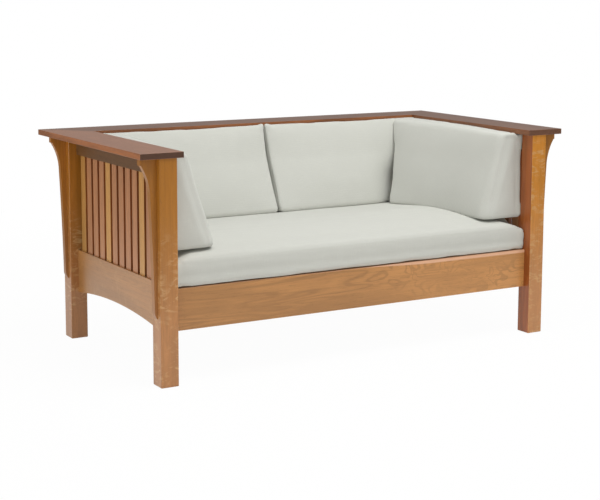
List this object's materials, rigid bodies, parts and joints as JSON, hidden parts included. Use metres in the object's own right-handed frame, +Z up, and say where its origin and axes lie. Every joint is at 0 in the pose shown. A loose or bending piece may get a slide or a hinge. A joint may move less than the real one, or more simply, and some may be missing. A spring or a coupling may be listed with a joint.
{
  "type": "mission settle",
  "caption": "Oak mission settle with flat mitred caps, slatted sides and back, long corbels, and loose seat, back and arm cushions.",
  "frame": {"origin": "on the floor under the middle of the cap boards' outline", "axes": "+X to the right seen from the front, +Y to the back, +Z up"},
  "size_m": [1.6446, 0.8636, 0.7366],
  "materials": {
    "cap_oak": "quarter-sawn oak, brown stain, satin varnish",
    "post_oak": "quarter-sawn oak, medium stain, satin varnish",
    "rail_oak": "quarter-sawn oak, medium stain, satin varnish",
    "slat_oak": "oak, medium stain, satin varnish",
    "deck_wood": "plain poplar, unfinished",
    "hardwood_pins": "birch, unfinished",
    "screw_steel": "zinc plated",
    "cushion_fabric": "plain woven linen, pale grey green"
  },
  "bodies": {
    "root": {"back_cap": "cap_oak", "back_cleat": "deck_wood", "back_lower_rail": "rail_oak", "back_slats": "slat_oak", "back_upper_rail": "rail_oak", "cap_splines": "hardwood_pins", "corbel_dowels": "hardwood_pins", "deck_back_rail": "deck_wood", "deck_front_rail": "deck_wood", "deck_slats": "deck_wood", "front_cleat": "deck_wood", "front_seat_rail": "rail_oak", "left_arm_cap": "cap_oak", "left_arm_cushion": "cushion_fabric", "left_back_corbel": "rail_oak", "left_back_cushion": "cushion_fabric", "left_back_post": "post_oak", "left_cleat": "deck_wood", "left_deck_end": "deck_wood", "left_front_corbel": "rail_oak", "left_front_post": "post_oak", "left_lower_side_rail": "rail_oak", "left_slat_01": "slat_oak", "left_slat_02": "slat_oak", "left_slat_03": "slat_oak", "left_slat_04": "slat_oak", "left_slat_05": "slat_oak", "left_slat_06": "slat_oak", "left_slat_07": "slat_oak", "left_slat_08": "slat_oak", "left_slat_09": "slat_oak", "left_slat_10": "slat_oak", "left_slat_11": "slat_oak", "left_slat_12": "slat_oak", "left_upper_side_rail": "rail_oak", "right_arm_cap": "cap_oak", "right_arm_cushion": "cushion_fabric", "right_back_corbel": "rail_oak", "right_back_cushion": "cushion_fabric", "right_back_post": "post_oak", "right_cleat": "deck_wood", "right_deck_end": "deck_wood", "right_front_corbel": "rail_oak", "right_front_post": "post_oak", "right_lower_side_rail": "rail_oak", "right_slat_01": "slat_oak", "right_slat_02": "slat_oak", "right_slat_03": "slat_oak", "right_slat_04": "slat_oak", "right_slat_05": "slat_oak", "right_slat_06": "slat_oak", "right_slat_07": "slat_oak", "right_slat_08": "slat_oak", "right_slat_09": "slat_oak", "right_slat_10": "slat_oak", "right_slat_11": "slat_oak", "right_slat_12": "slat_oak", "right_upper_side_rail": "rail_oak", "seat_cushion": "cushion_fabric", "wood_screws": "screw_steel"}
  },
  "joints": []
}
